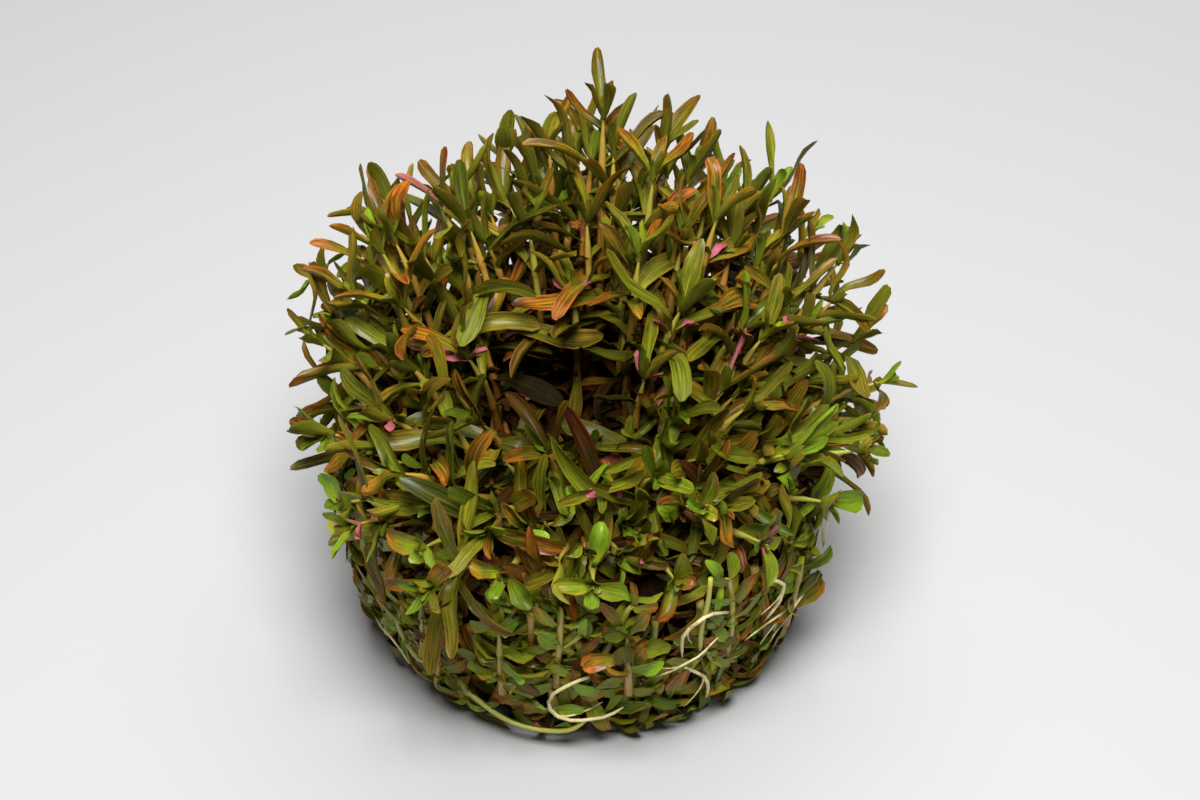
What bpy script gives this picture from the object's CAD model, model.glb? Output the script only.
"""The finish of a rotala clump: its leaves, stems and roots as fine meshes, with their colours.

The named shoots, sprigs, wall stems and roots grow here by the rules that shaped their
solids, so each fine piece lies where its solid does.  More shoots, leaves and roots of the
same growth fill the room between them.

Growth is in millimetres, and a mesh is scaled to metres when it is made.  X runs to the
right, Y away from the viewer and Z up, from the middle of the underside.
"""

import math
import random

import bmesh
import bpy
import numpy as np
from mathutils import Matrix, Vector, noise


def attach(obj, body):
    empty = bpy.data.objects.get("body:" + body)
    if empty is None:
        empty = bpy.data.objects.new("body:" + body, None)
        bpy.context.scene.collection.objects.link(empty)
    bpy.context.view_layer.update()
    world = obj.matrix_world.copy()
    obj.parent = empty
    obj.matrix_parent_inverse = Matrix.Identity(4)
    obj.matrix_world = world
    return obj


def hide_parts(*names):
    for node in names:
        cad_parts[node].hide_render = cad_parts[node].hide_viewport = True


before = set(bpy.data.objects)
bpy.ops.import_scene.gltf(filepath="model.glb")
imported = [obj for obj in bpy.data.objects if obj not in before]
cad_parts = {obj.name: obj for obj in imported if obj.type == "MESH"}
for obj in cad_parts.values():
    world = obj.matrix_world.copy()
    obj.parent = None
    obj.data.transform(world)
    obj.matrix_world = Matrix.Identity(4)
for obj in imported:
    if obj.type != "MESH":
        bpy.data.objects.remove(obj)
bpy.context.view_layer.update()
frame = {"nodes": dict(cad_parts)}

METRES = 0.001
GAP = 0.35
CLUMP_RADIUS = 47.0

# The mat: the cup's flat floor, its rounded corner, its flared wall and the dished top
FLOOR_RADIUS = 26.5
CORNER_RADIUS = 6.5
WALL_TOP_RADIUS = 36.5
WALL_TOP_HEIGHT = 30.0
RIM_RADIUS = 33.5
MAT_HEIGHT = 34.0
DISH_RADIUS = 20.0
DISH_EDGE_DEPTH = 0.6
DISH_DEPTH = 4.0

# Stems are thicker at the foot than under the crown
FOOT_HALF_WIDTH = 0.6
CROWN_HALF_WIDTH = 0.4
FOOT_RADIUS = 31.0
CROWN_FLARE = 1.28

# Leaf pairs counted down from the crown: length, width, spread from the stem and arch
SHOOT_PAIRS = (
    (10.5, 2.5, 26, 12),
    (13.0, 3.1, 50, 30),
    (13.5, 3.3, 68, 45),
    (12.0, 3.0, 82, 55),
)
LOWER_PAIR = (11.0, 2.8, 84, 50)
LOWER_ROUND_PAIR = (6.4, 4.3, 84, 40)
SPRIG_PAIRS = (
    (6.0, 4.2, 52, 20),
    (6.6, 4.8, 76, 35),
)
WALL_PAIRS = (
    (5.0, 3.2, 34, 6),
    (6.2, 3.9, 58, 10),
    (6.2, 3.9, 64, 10),
)
SHOOT_INTERNODES = (5.0, 8.0)
SPRIG_INTERNODES = (4.4, 4.4)
WALL_INTERNODES = (4.8, 5.6)
LEAF_TRIES = 14
SAMPLE_STEP = 0.8
CLEAR_FROM = 0.2
CLEAR_OF_OWN_FROM = 0.45

# Crowns of the tall shoots, at the back and the sides
TALL_CROWNS = (
    (2.5, 24, 79), (10.2, 19, 70.5), (-6, 28, 69.5), (-9, 17, 62), (16, 28, 64),
    (20, 15, 66), (-20.3, 22, 63), (-31.8, 11, 63), (-40.7, 14, 55), (-41, 2, 52),
    (-30, 27, 56), (-13, 37, 60), (5, 38, 60), (22, 37, 56), (35, 32, 50),
    (29.5, 19, 58), (39, 12, 60), (27, 3, 52), (8, 9, 63), (-2, 10, 55),
    (-18, 8, 51), (-28, 0, 50),
)
# Crowns of the shorter shoots, at the front and the right
SHORT_CROWNS = (
    (45, 1, 45), (41, -9, 41), (13, -8, 45), (-16, -9, 45), (-6, -14, 43), (2, -21, 42),
    (10, -17, 41), (19, -24, 42), (-28, -17, 42), (30, -15, 44), (-13, -24, 41), (-39, -9, 43),
    (24, -8, 47), (-30, -9, 46),
)
# Crowns of the round-leaved sprigs on the rim
SPRIG_CROWNS = (
    (1, -38, 39), (-12, -36, 39), (-24, -30, 39), (13, -36, 38),
    (26, -29, 39), (36, -20, 39), (-36, -20, 39), (-24, 38, 42),
)

# Stems that lie on the wall: angle from the front towards +X and height, at foot and crown
WALL_STEM_CLEARANCE = 2.75
WALL_COURSES = (
    ((-21, 12), (-20, 27)),
    ((-44, 13), (-41, 27)),
    ((10, 14), (9, 28.5)),
    ((60, 11), (61, 26)),
)

# Thin roots that loop just off the wall's leaves: angle from the front, and height
ROOT_RADIUS = 0.27
ROOT_CLEARANCE = 2.35
ROOT_STEP = 1.9
ROOT_COURSES = (
    ((5, 20), (-2, 18), (-8, 14.5), (-9, 10.5), (-4, 8), (4, 8.2), (9, 10)),
    ((34, 27), (27, 29.5), (22, 26), (23, 20)),
    ((24, 17), (29, 14), (31, 10), (32, 6.5)),
    ((46, 29), (51, 26), (51, 22), (48, 18)),
)

SEED = 41
noise.seed_set(SEED)

# More shoots between the named ones, spaced like the seeds of a sunflower
FEET_TRIED = 280
FEET_RADIUS = 33.0
FOOT_SINK = 0.5
FEET_APART = 1.75
FRONT_FEET_APART = 2.5
FRONT_FEET_UP_TO = 3.0
CROWDED_SHARE = 0.12
CROWN_TRIES = 12
CROWN_SCATTER = 3.5
CROWN_BLUR = 9.0
CROWN_DROP = (0, 16)
SHOULDER_DROP = (-6, 12)
SHOULDER_FROM = (12, 4)
LOWEST_CROWN = 38.5
GROWTH_SIZES = (0.85, 1.2)
PAIR_ROOM = 5.5
CROWD_PAIRS = (
    (10.5, 2.3, 22, 12),
    (14.0, 2.9, 42, 35),
    (15.5, 3.1, 58, 50),
    (15.0, 3.1, 72, 55),
    (13.0, 2.9, 84, 60),
)
CROWD_INTERNODES = (4.2, 6.5)

# The shoots in front of the hollow are low
LOW_FRONT = Vector((-5, -10, 0))
LOW_FRONT_RADIUS = 15.0
LOW_CROWN_RISE = (-2.5, 0.5)
LOW_PAIRS = (
    (7.5, 2.3, 50, 30),
    (10.5, 2.7, 72, 45),
    (11.5, 2.8, 86, 50),
)

# The dark hollow: a shaft with no feet and hardly any leaves in it, that slants as a view from
# 40 degrees above the front does
HOLLOW = Vector((-4.5, 6.5, 36.5))
HOLLOW_RADIUS = 9.0
HOLLOW_HALF_WIDTH = 12.0
HOLLOW_HALF_HEIGHT = 7.0
HOLLOW_SLOPE = Vector((0, 0.643, 0.766))
HOLLOW_SPAN = (-16, 14)
HOLLOW_SIDES = (-20, 12)
HOLLOW_TOP = 62

# Smaller dark gaps: a middle and a radius
GAPS = (
    (10, -34, 28, 5.5), (-7, -37, 23, 4.5), (-21, -31, 15, 4.5), (-1, -27, 40, 5), (-13, -18, 42, 5),
    (16, -31, 38, 4.5), (29, -27, 19, 4), (-33, 5, 42, 4.5), (33, 12, 24, 4.5), (-12, 36, 22, 5),
)

# Deep leaves are old and dark: in the hollow, about it, and from these shares of the depth and radii
HOLLOW_SHADE = 1.1
HOLLOW_RIM_SHADE = 0.9
GAP_SHADE = 0.9
SHADE_SHARES = (0.22, 0.72)
SHADE_RADII = (46, 35)

# More round-leaved sprigs, where the front and the sides are low, and the room that all of them keep
MORE_SPRIGS = ((17, -26, 43), (41, -14, 44), (-41, -9, 43))
SPRIG_ROOM = 7.0
SPRIG_CLEARING = 4.5

# Where small pink leaves show between the shoots
PINK_SPOTS = (
    (-3, 1.5, 57), (1.5, -6.5, 50), (7.4, -23.5, 45), (-30, -9, 49), (-16, -20, 45), (34, 5, 56),
    (25, 4, 55), (-18, -0.5, 52), (-20, 1.5, 53), (23, 9, 61), (31, -26, 47), (4.4, -28.5, 45),
    (-13, -18, 45), (-37, -24, 47), (22, -0.5, 53), (10, -0.5, 54),
)

# A fine leaf is a little fuller than the rule for its solid, and so is a fine stem
LEAF_FULLER = (1.08, 1.08)
STEM_FULLER = 1.22
JOINT_SWELLING = 0.3
TIP_THINNING = 4.5

# The youngest leaves of a tip, outer pair first: length, width and spread
TIP_LEAVES = ((7.2, 2.1, 19), (4.0, 1.3, 9))
LOW_TIP_LEAVES = ((4.4, 1.6, 26), (2.6, 1.0, 12))
SPRIG_TIP_LEAVES = ((3.9, 2.6, 40), (2.2, 1.4, 18))

# Small leaves: their least and greatest length, then width
SIDE_LEAF = ((4.5, 9.5), (1.8, 2.7))
BUD_LEAF = ((2.2, 4.2), (1.0, 1.5))
PINK_LEAF = ((4.2, 5.4), (1.8, 2.3))
OLD_LEAF = ((7, 12), (2.2, 3.2))
WALL_PAIR_LEAF = ((5.8, 9.6), (2.8, 4.0))
WALL_ROUND_LEAF = ((5, 8.4), (2.6, 3.9))
WALL_LONG_LEAF = ((8, 13), (2.3, 3.2))
WALL_PINK_LEAF = ((3.2, 4.6), (1.5, 2.0))

# The mat's leaves: how far up the cup they run and off it they reach, and the softness of that limit
WALL_RUN = FLOOR_RADIUS + CORNER_RADIUS * math.pi / 2 + 23.8
CUP_LIMIT = 3.0
CUP_SOFTNESS = 0.8
FLOOR_SOFTNESS = 0.3
RUNNERS = 128
RUNNER_LENGTHS = (10, 26)
RUNNER_DRIFT = 16
RUNNER_STEP = 1.6
LOOSE_LEAVES = 420
DEEP_LEAVES = 640
FLOOR_LEAVES = 260
HANGING_SHARE = 0.45
HANGING_TILT = (12, 48)
STANDING_TILT = (-12, 32)
HEADING_SPREAD = 42
LEAF_ROLL = 22

# The mat is a little fuller at its left
BULGE = 3.0
BULGE_ANGLE = -88
BULGE_SPREAD = 36

# Old leaves and fallen stems on the mat's top
OLD_LEAVES = 230
OLD_STEMS = 34

# Thinner roots, and low stems that run over the wall
ROOT_LIFT = 0.9
MORE_ROOTS = 18
LOW_RUNNERS = (
    ((-54, 17), (-52, 13), (-47, 10), (-40, 12.5)),
    ((-31, 9), (-22, 5.5), (-14, 4.2), (-5, 5), (0, 8)),
    ((28, 37), (27.5, 32), (26.5, 27), (27, 21)),
)

# Fine leaves: columns and rows of faces, and the shares of width along each outline
LONG_GRID = (4, 7)
YOUNG_GRID = (2, 5)
ROUND_GRID = (4, 5)
LEAF_HALF_THICKNESS = 0.15
STEM_SIDES = 6
GOLDEN_TURN = math.pi * (3 - math.sqrt(5))

# The compass parts that the many unnamed pieces are joined in, from the front towards +X
SECTORS = ("front", "front_right", "right", "back_right", "back", "back_left", "left", "front_left")


# Growth, by the same rules as the solids


def limit(value):
    """A share kept from 0 to 1."""
    return min(1.0, max(0.0, value))


def ring_point(radius, angle, height):
    """A point at an angle in degrees from the front, counted towards +X."""
    turn = math.radians(angle)
    return Vector((radius * math.sin(turn), -radius * math.cos(turn), height))


def wall_radius(height):
    """The mat's radius at a height: the rounded corner, then the straight flared wall."""
    start = FLOOR_RADIUS + CORNER_RADIUS
    if height < CORNER_RADIUS:
        drop = CORNER_RADIUS - max(height, 0)
        return FLOOR_RADIUS + math.sqrt(CORNER_RADIUS ** 2 - drop ** 2)
    share = min(1.0, (height - CORNER_RADIUS) / (WALL_TOP_HEIGHT - CORNER_RADIUS))
    return start + share * (WALL_TOP_RADIUS - start)


def mat_top(radius):
    """The height of the mat's dished top at a radius."""
    edge = MAT_HEIGHT - DISH_EDGE_DEPTH
    if radius > DISH_RADIUS:
        return edge + DISH_EDGE_DEPTH * (radius - DISH_RADIUS) / (RIM_RADIUS - DISH_RADIUS)
    middle = MAT_HEIGHT - DISH_DEPTH
    return middle + (edge - middle) * radius / DISH_RADIUS


def cell(point):
    """The millimetre cell that a point lies in."""
    return tuple(math.floor(value) for value in point)


def cells_around(points):
    """The cells at and next to points."""
    steps = (-1, 0, 1)
    return {
        (x + i, y + j, z + k)
        for x, y, z in {cell(point) for point in points}
        for i in steps
        for j in steps
        for k in steps
    }


class TakenSpace:
    """The cells that pieces already fill, so that leaves keep clear of each other."""

    def __init__(self, closely=False):
        self.owners = {}
        self.closely = closely
        self.mat_height = MAT_HEIGHT - 3 if closely else MAT_HEIGHT + 1
        self.tolerance = CROWDED_SHARE if closely else 0

    def take(self, points, owner):
        """Give an owner the cells at its points, and around them unless it is packed closely."""
        cells = {cell(point) for point in points} if self.closely else cells_around(points)
        for key in cells:
            if self.owners.setdefault(key, owner) != owner:
                self.owners[key] = "shared"

    def is_free(self, points, owner):
        """Whether points keep clear of the mat, the clump's bounds and every other owner."""
        points = list(points)
        hits = sum(self.owners.get(cell(point), owner) != owner for point in points)
        if hits > self.tolerance * len(points):
            return False
        for point in points:
            radius = math.hypot(point.x, point.y)
            if radius > CLUMP_RADIUS:
                return False
            if point.z < self.mat_height and radius < wall_radius(point.z) + ROOT_CLEARANCE:
                return False
        return True


class Stem:
    """A stem that curves from its foot, towards the bend, up to its crown."""

    def __init__(self, foot, bend, crown, turn):
        self.foot = foot
        self.bend = bend
        self.crown = crown
        self.length = (self.bend - foot).length + (crown - self.bend).length
        self.turn = turn

    def at(self, share):
        """Place, direction and the two axes of the section at a share of the stem."""
        back = 1 - share
        place = back ** 2 * self.foot + 2 * share * back * self.bend + share ** 2 * self.crown
        ahead = (back * (self.bend - self.foot) + share * (self.crown - self.bend)).normalized()
        across = Vector((math.cos(self.turn), math.sin(self.turn), 0))
        across = (across - across.dot(ahead) * ahead).normalized()
        return place, ahead, across, ahead.cross(across)

    def half_width(self, share):
        """Half the stem's thickness at a share of the stem."""
        return FOOT_HALF_WIDTH + share * (CROWN_HALF_WIDTH - FOOT_HALF_WIDTH)

    def samples(self):
        """Points on the middle and the corners of the stem."""
        count = math.ceil(self.length)
        for step in range(1, count + 2):
            share = step / count
            place, _, across, up = self.at(share)
            across, up = self.half_width(share) * across, self.half_width(share) * up
            yield place
            for i, j in ((1, 1), (1, -1), (-1, 1), (-1, -1)):
                yield place + i * across + j * up


class Leaf:
    """A leaf that leaves a stem at an angle and arches back; a pressed one lies on its side."""

    def __init__(self, place, ahead, side, length, width, spread, arch, pressed):
        self.place = place
        self.ahead = ahead
        self.length = length
        self.width = width
        self.arch = math.radians(arch)
        self.pressed = pressed
        spread = math.radians(spread)
        self.out = math.cos(spread) * ahead + math.sin(spread) * side
        self.face = math.sin(spread) * ahead - math.cos(spread) * side
        self.across = ahead.cross(side)

    def at(self, share):
        """Place on the midrib and the direction that the upper face looks."""
        turn = share * self.arch
        reach = self.length / self.arch
        place = self.place + reach * (math.sin(turn) * self.out - (1 - math.cos(turn)) * self.face)
        return place, math.cos(turn) * self.face + math.sin(turn) * self.out

    def samples(self, start):
        """Points over the blade from a share of its length on, under a millimetre apart."""
        rows = math.ceil(self.length / SAMPLE_STEP)
        for row in range(math.ceil(start * rows), rows + 1):
            place, face = self.at(row / rows)
            sideways = face if self.pressed else self.across
            for side in (-0.5, -0.25, 0, 0.25, 0.5):
                yield place + side * self.width * sideways


def smooth_course(points, step):
    """Points about a step apart along a smooth curve through a few chosen points."""
    padded = [2 * points[0] - points[1], *points, 2 * points[-1] - points[-2]]
    course = []
    for a, b, c, d in zip(padded, padded[1:], padded[2:], padded[3:]):
        pieces = max(1, round((c - b).length / step))
        for piece in range(pieces):
            t = piece / pieces
            course.append(
                0.5 * (2 * b + (c - a) * t + (2 * a - 5 * b + 4 * c - d) * t ** 2
                       + (3 * b - a - 3 * c + d) * t ** 3)
            )
    course.append(points[-1])
    return course


def root_course(course, clearance=ROOT_CLEARANCE, step=ROOT_STEP):
    """A root's points: it leaves the wall, loops just off the leaves and comes back to them."""
    points = [ring_point(wall_radius(height) + clearance, angle, height) for angle, height in course]
    return smooth_course(points, step)


class Shoot:
    """A stem and its pairs of leaves, crosswise to each other unless the shoot is pressed."""

    def __init__(self, name, stem, pairs, internodes, pressed=False):
        self.name = name
        self.chance = random.Random(f"{SEED} {name}")
        self.stem = stem
        self.pairs = list(pairs)
        self.pressed = pressed
        shortest, longest = internodes
        spacing = min(max(stem.length / (len(pairs) + 0.6), shortest), longest)
        self.step = spacing / stem.length
        self.shares = [1 - index * self.step for index in range(len(pairs))]
        self.leaves = {}
        self.blades = set()
        self.pink_joints = set()

    def has_round_leaves(self):
        """Whether the shoot is a sprig or a wall stem, with short round leaves."""
        return self.pairs[0][0] < 8

    def sides(self, index):
        """The place of a pair, the stem's direction there and the pair's two directions."""
        place, ahead, across, up = self.stem.at(self.shares[index])
        side = up if index % 2 and not self.pressed else across
        return place, ahead, (side, -side)

    def grow_pair(self, index, taken):
        """Add a pair's leaves where they find room, each bent a little its own way."""
        place, ahead, sides = self.sides(index)
        length, width, spread, arch = self.pairs[index]
        grown = [side for side, _ in self.leaves.get(index, [])]
        for side in sides:
            if any(side.dot(other) > 0.5 for other in grown):
                continue
            for attempt in range(LEAF_TRIES):
                loose = 6 + 3 * attempt
                leaf = Leaf(
                    place, ahead, side,
                    length * self.chance.uniform(0.9 - 0.03 * attempt, 1.1),
                    width * self.chance.uniform(0.9, 1.1),
                    spread + self.chance.uniform(-loose, loose),
                    max(5, arch + self.chance.uniform(-2 * loose, 2 * loose)),
                    self.pressed,
                )
                outer = list(leaf.samples(CLEAR_OF_OWN_FROM))
                if not self.blades.isdisjoint(cell(point) for point in outer):
                    continue
                if taken.is_free(leaf.samples(CLEAR_FROM), self.name):
                    taken.take(leaf.samples(CLEAR_FROM), self.name)
                    self.blades |= cells_around(outer)
                    self.leaves.setdefault(index, []).append((side, leaf))
                    break

    def grow_lower_pairs(self, taken):
        """Go on with old leaf pairs below the others, down to the foot."""
        while (self.shares[-1] - self.step) * self.stem.length > 2:
            self.shares.append(self.shares[-1] - self.step)
            self.pairs.append(LOWER_ROUND_PAIR if self.has_round_leaves() else LOWER_PAIR)
            self.grow_pair(len(self.pairs) - 1, taken)


def rising_stem(crown, chance):
    """A stem that stands on the mat, inwards of its crown."""
    crown = Vector(crown)
    radius = min(math.hypot(crown.x, crown.y) / CROWN_FLARE, FOOT_RADIUS)
    foot = Vector((crown.x, crown.y, 0)).normalized() * radius
    foot.z = mat_top(radius) + GAP
    upright = foot + Vector((0, 0, 0.5 * (crown.z - foot.z)))
    return Stem(foot, upright, crown, chance.uniform(0, math.pi))


def wall_stem(course):
    """A stem that lies on the wall, its leaves to its left and right."""
    foot, crown = (
        ring_point(wall_radius(height) + WALL_STEM_CLEARANCE, angle, height)
        for angle, height in course
    )
    middle_angle = 0.5 * (course[0][0] + course[1][0])
    return Stem(foot, 0.5 * (foot + crown), crown, math.radians(middle_angle))


def named_shoots():
    """Every shoot, sprig and wall stem that has a solid, before its leaves have grown."""
    chance = random.Random(SEED + 1)
    shoots = []
    for number, crown in enumerate(TALL_CROWNS + SHORT_CROWNS, 1):
        pairs = SHOOT_PAIRS if number <= len(TALL_CROWNS) else SHOOT_PAIRS[:3]
        shoots.append(Shoot(f"shoot_{number:02d}", rising_stem(crown, chance), pairs, SHOOT_INTERNODES))
    for number, crown in enumerate(SPRIG_CROWNS, 1):
        stem = rising_stem(crown, chance)
        shoots.append(Shoot(f"sprig_{number}", stem, SPRIG_PAIRS, SPRIG_INTERNODES))
    for number, course in enumerate(WALL_COURSES, 1):
        stem = wall_stem(course)
        shoots.append(Shoot(f"wall_stem_{number}", stem, WALL_PAIRS, WALL_INTERNODES, pressed=True))
    return shoots


def grow_named():
    """The named shoots with the leaves that their solids have, and the named roots' points."""
    taken = TakenSpace()
    roots = {}
    for number, course in enumerate(ROOT_COURSES, 1):
        roots[f"root_{number}"] = root_course(course)
        taken.take(roots[f"root_{number}"], f"root_{number}")
    shoots = named_shoots()
    for shoot in shoots:
        taken.take(shoot.stem.samples(), shoot.name)
    for index in range(len(SHOOT_PAIRS)):
        for shoot in shoots:
            if index < len(shoot.pairs):
                shoot.grow_pair(index, taken)
    return shoots, roots


def crown_height(x, y):
    """The height of the clump's crowns at a place, from the named crowns near it."""
    crowns = TALL_CROWNS + SHORT_CROWNS
    weights = [1 / ((x - crown[0]) ** 2 + (y - crown[1]) ** 2 + CROWN_BLUR) ** 1.5
               for crown in crowns]
    return sum(weight * crown[2] for weight, crown in zip(weights, crowns)) / sum(weights)


def more_shoots(shoots, taken):
    """Shoots that stand between the named ones, as close as their feet find room."""
    chance = random.Random(SEED + 2)
    feet = [shoot.stem.foot for shoot in shoots if not shoot.pressed]
    sprigs = [Vector(crown) for crown in SPRIG_CROWNS + MORE_SPRIGS]
    found = []
    for number in range(FEET_TRIED):
        radius = FEET_RADIUS * math.sqrt((number + 0.5) / FEET_TRIED)
        turn = number * GOLDEN_TURN
        foot = Vector((radius * math.cos(turn), radius * math.sin(turn), mat_top(radius) - FOOT_SINK))
        apart = FEET_APART if foot.y > FRONT_FEET_UP_TO else FRONT_FEET_APART
        if min((foot - other).xy.length for other in feet) < apart:
            continue
        if (foot - HOLLOW).xy.length < HOLLOW_RADIUS:
            continue
        for _ in range(CROWN_TRIES):
            x = foot.x * CROWN_FLARE + chance.uniform(-CROWN_SCATTER, CROWN_SCATTER)
            y = foot.y * CROWN_FLARE + chance.uniform(-CROWN_SCATTER, CROWN_SCATTER)
            is_shoulder = abs(x) > SHOULDER_FROM[0] and y > SHOULDER_FROM[1]
            drop = SHOULDER_DROP if is_shoulder else CROWN_DROP
            height = max(crown_height(x, y) - chance.uniform(*drop), LOWEST_CROWN)
            is_low = (Vector((x, y, 0)) - LOW_FRONT).length < LOW_FRONT_RADIUS
            if is_low:
                height = LOWEST_CROWN + chance.uniform(*LOW_CROWN_RISE)
            bend = foot + Vector((0, 0, 0.5 * (height - foot.z)))
            stem = Stem(foot, bend, Vector((x, y, height)), chance.uniform(0, math.pi))
            if taken.is_free(stem.samples(), ""):
                break
        if min((stem.crown - sprig).xy.length for sprig in sprigs) < SPRIG_ROOM:
            continue
        feet.append(foot)
        grow = chance.uniform(*GROWTH_SIZES)
        rule = LOW_PAIRS if is_low else CROWD_PAIRS[: max(2, round(stem.length / PAIR_ROOM))]
        pairs = [
            (length * grow, width * math.sqrt(grow), spread, arch) for length, width, spread, arch in rule
        ]
        shoot = Shoot(f"more_{number}", stem, pairs, CROWD_INTERNODES)
        taken.take(stem.samples(), shoot.name)
        found.append(shoot)
    return found


def add_clearing(taken, shoot):
    """Keep the room in front of a sprig's crown for its own leaves."""
    crown = shoot.stem.crown
    ahead = crown + 2.5 * Vector((crown.x, crown.y, 0)).normalized()
    taken.take(disc_cells(ahead, SPRIG_CLEARING, crown.z - 4, crown.z + 6), shoot.name)


def disc_cells(middle, radius, bottom, top):
    """A point in each millimetre cell of an upright cylinder."""
    reach = math.ceil(radius)
    for x in range(-reach, reach + 1):
        for y in range(-reach, reach + 1):
            if math.hypot(x, y) < radius:
                for z in range(round(bottom), round(top)):
                    yield Vector((middle.x + x + 0.5, middle.y + y + 0.5, z + 0.5))


def hollow_away(place):
    """How far a place is from the middle of the hollow, a slanted shaft: 1 at its edge."""
    away = place - HOLLOW
    return math.hypot(away.x / HOLLOW_HALF_WIDTH, away.dot(HOLLOW_SLOPE) / HOLLOW_HALF_HEIGHT)


def is_in_hollow(place):
    """Whether a place is in the hollow, which opens over the low front shoots."""
    return hollow_away(place) < 1 and HOLLOW_SPAN[0] < place.y < HOLLOW_SPAN[1]


def gap_at(place):
    """How deep a place lies in one of the smaller gaps, from 0 to 1."""
    depths = (1.6 - 1.6 * (place - Vector(middle)).length / radius for *middle, radius in GAPS)
    return limit(max(depths))


def hollow_cells():
    """A point in each millimetre cell of the hollow and the smaller gaps."""
    for *middle, radius in GAPS:
        middle = Vector(middle)
        for place in disc_cells(middle, radius, middle.z - radius, middle.z + radius):
            if (place - middle).length < 0.8 * radius:
                yield place
    for x in range(*HOLLOW_SIDES):
        for y in range(*HOLLOW_SPAN):
            for z in range(round(MAT_HEIGHT), HOLLOW_TOP):
                place = Vector((x + 0.5, y + 0.5, z + 0.5))
                if is_in_hollow(place):
                    yield place


def mark_pink_joints(shoots):
    """Give the joints nearest to the pink spots their small pink leaves."""
    for spot in PINK_SPOTS:
        _, _, shoot, index = min(
            ((shoot.stem.at(share)[0] - Vector(spot)).length, shoot.name, shoot, index)
            for shoot in shoots
            for index, share in enumerate(shoot.shares[:3])
        )
        shoot.pink_joints.add(index)


def grow_crowd(shoots):
    """The unnamed shoots, and old leaves low on every shoot, packed closely."""
    taken = TakenSpace(closely=True)
    for shoot in shoots:
        taken.take(shoot.stem.samples(), shoot.name)
        for leaves in shoot.leaves.values():
            for _, leaf in leaves:
                taken.take(leaf.samples(CLEAR_FROM), shoot.name)
    taken.take(hollow_cells(), "hollow")
    chance = random.Random(SEED + 7)
    sprigs = [
        Shoot(f"more_sprig_{number}", rising_stem(crown, chance), SPRIG_PAIRS, SPRIG_INTERNODES)
        for number, crown in enumerate(MORE_SPRIGS)
    ]
    for shoot in shoots + sprigs:
        if shoot.has_round_leaves() and not shoot.pressed:
            add_clearing(taken, shoot)
    crowd = sprigs + more_shoots(shoots + sprigs, taken)
    for index in range(len(CROWD_PAIRS)):
        for shoot in shoots + crowd:
            if index < len(shoot.pairs):
                shoot.grow_pair(index, taken)
    for shoot in shoots + crowd:
        if not shoot.pressed:
            shoot.grow_lower_pairs(taken)
    mark_pink_joints(shoots + crowd)
    return crowd


# Fine shapes: one blank for each kind, bent many times


class Blank:
    """One shape in its own coordinates, with its faces and its flat chart."""

    def __init__(self, bm, chart):
        bm.verts.index_update()
        self.spots = np.array([vert.co[:] for vert in bm.verts])
        self.corners = np.array([loop.vert.index for face in bm.faces for loop in face.loops])
        self.sizes = np.array([len(face.loops) for face in bm.faces])
        self.chart = np.array([chart(face, loop.vert) for face in bm.faces for loop in face.loops])
        bm.free()


def leaf_chart(face, vert):
    """Where a leaf's corner goes in its cell: the upper side on the left, the under side right."""
    upper = sum(corner.co.z for corner in face.verts) > 0
    return (0.25 if upper else 0.75) + 0.22 * vert.co.x, 0.04 + 0.92 * vert.co.y


def leaf_blank(columns, rows):
    """A closed leaf: x across from -1 to 1, y along from 0 to 1, z is 1 above and -1 below."""
    bm = bmesh.new()
    bmesh.ops.create_grid(bm, x_segments=columns, y_segments=rows, size=1)
    for vert in bm.verts:
        vert.co.z = 0 if vert.is_boundary else 1
        vert.co.y = 1 - (0.5 - 0.5 * vert.co.y) ** 1.35
    copy = bmesh.ops.duplicate(bm, geom=bm.verts[:] + bm.edges[:] + bm.faces[:])["geom"]
    under = [part for part in copy if isinstance(part, bmesh.types.BMFace)]
    bmesh.ops.reverse_faces(bm, faces=under)
    for part in copy:
        if isinstance(part, bmesh.types.BMVert):
            part.co.z = -part.co.z
    bmesh.ops.remove_doubles(bm, verts=bm.verts, dist=0.0001)
    return Blank(bm, leaf_chart)


def tube_chart(face, vert):
    """Where a tube's corner goes in its strip; the two ends have small places at its right."""
    if len(face.verts) == STEM_SIDES:
        lift = 0.75 if face.calc_center_median().z > 0.5 else 0.25
        return 0.98 + 0.01 * vert.co.x, lift + 0.2 * vert.co.y
    turn = math.tau / STEM_SIDES
    place = round(math.atan2(vert.co.y, vert.co.x) / turn) % STEM_SIDES
    middle = math.atan2(face.calc_center_median().y, face.calc_center_median().x) / turn % STEM_SIDES
    if place == 0 and middle > STEM_SIDES / 2:
        place = STEM_SIDES
    return vert.co.z * 0.94, 0.06 + 0.88 * place / STEM_SIDES


TUBE_BLANKS = {}


def tube_blank(rings):
    """A closed tube with a number of rings: x and y round it, z along it from 0 to 1."""
    if rings not in TUBE_BLANKS:
        bm = bmesh.new()
        bmesh.ops.create_circle(bm, segments=STEM_SIDES, radius=1)
        edges = bm.edges[:]
        for ring in range(1, rings):
            grown = bmesh.ops.extrude_edge_only(bm, edges=edges)["geom"]
            fresh = {part for part in grown if isinstance(part, bmesh.types.BMVert)}
            for vert in fresh:
                vert.co.z = ring / (rings - 1)
            edges = [
                part for part in grown
                if isinstance(part, bmesh.types.BMEdge) and fresh.issuperset(part.verts)
            ]
        bmesh.ops.holes_fill(bm, edges=bm.edges, sides=STEM_SIDES)
        bmesh.ops.recalc_face_normals(bm, faces=bm.faces)
        TUBE_BLANKS[rings] = Blank(bm, tube_chart)
    return TUBE_BLANKS[rings]


# The greatest value that each outline's formula reaches
LONG_PEAK = 0.5415
ROUND_PEAK = 0.478


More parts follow.
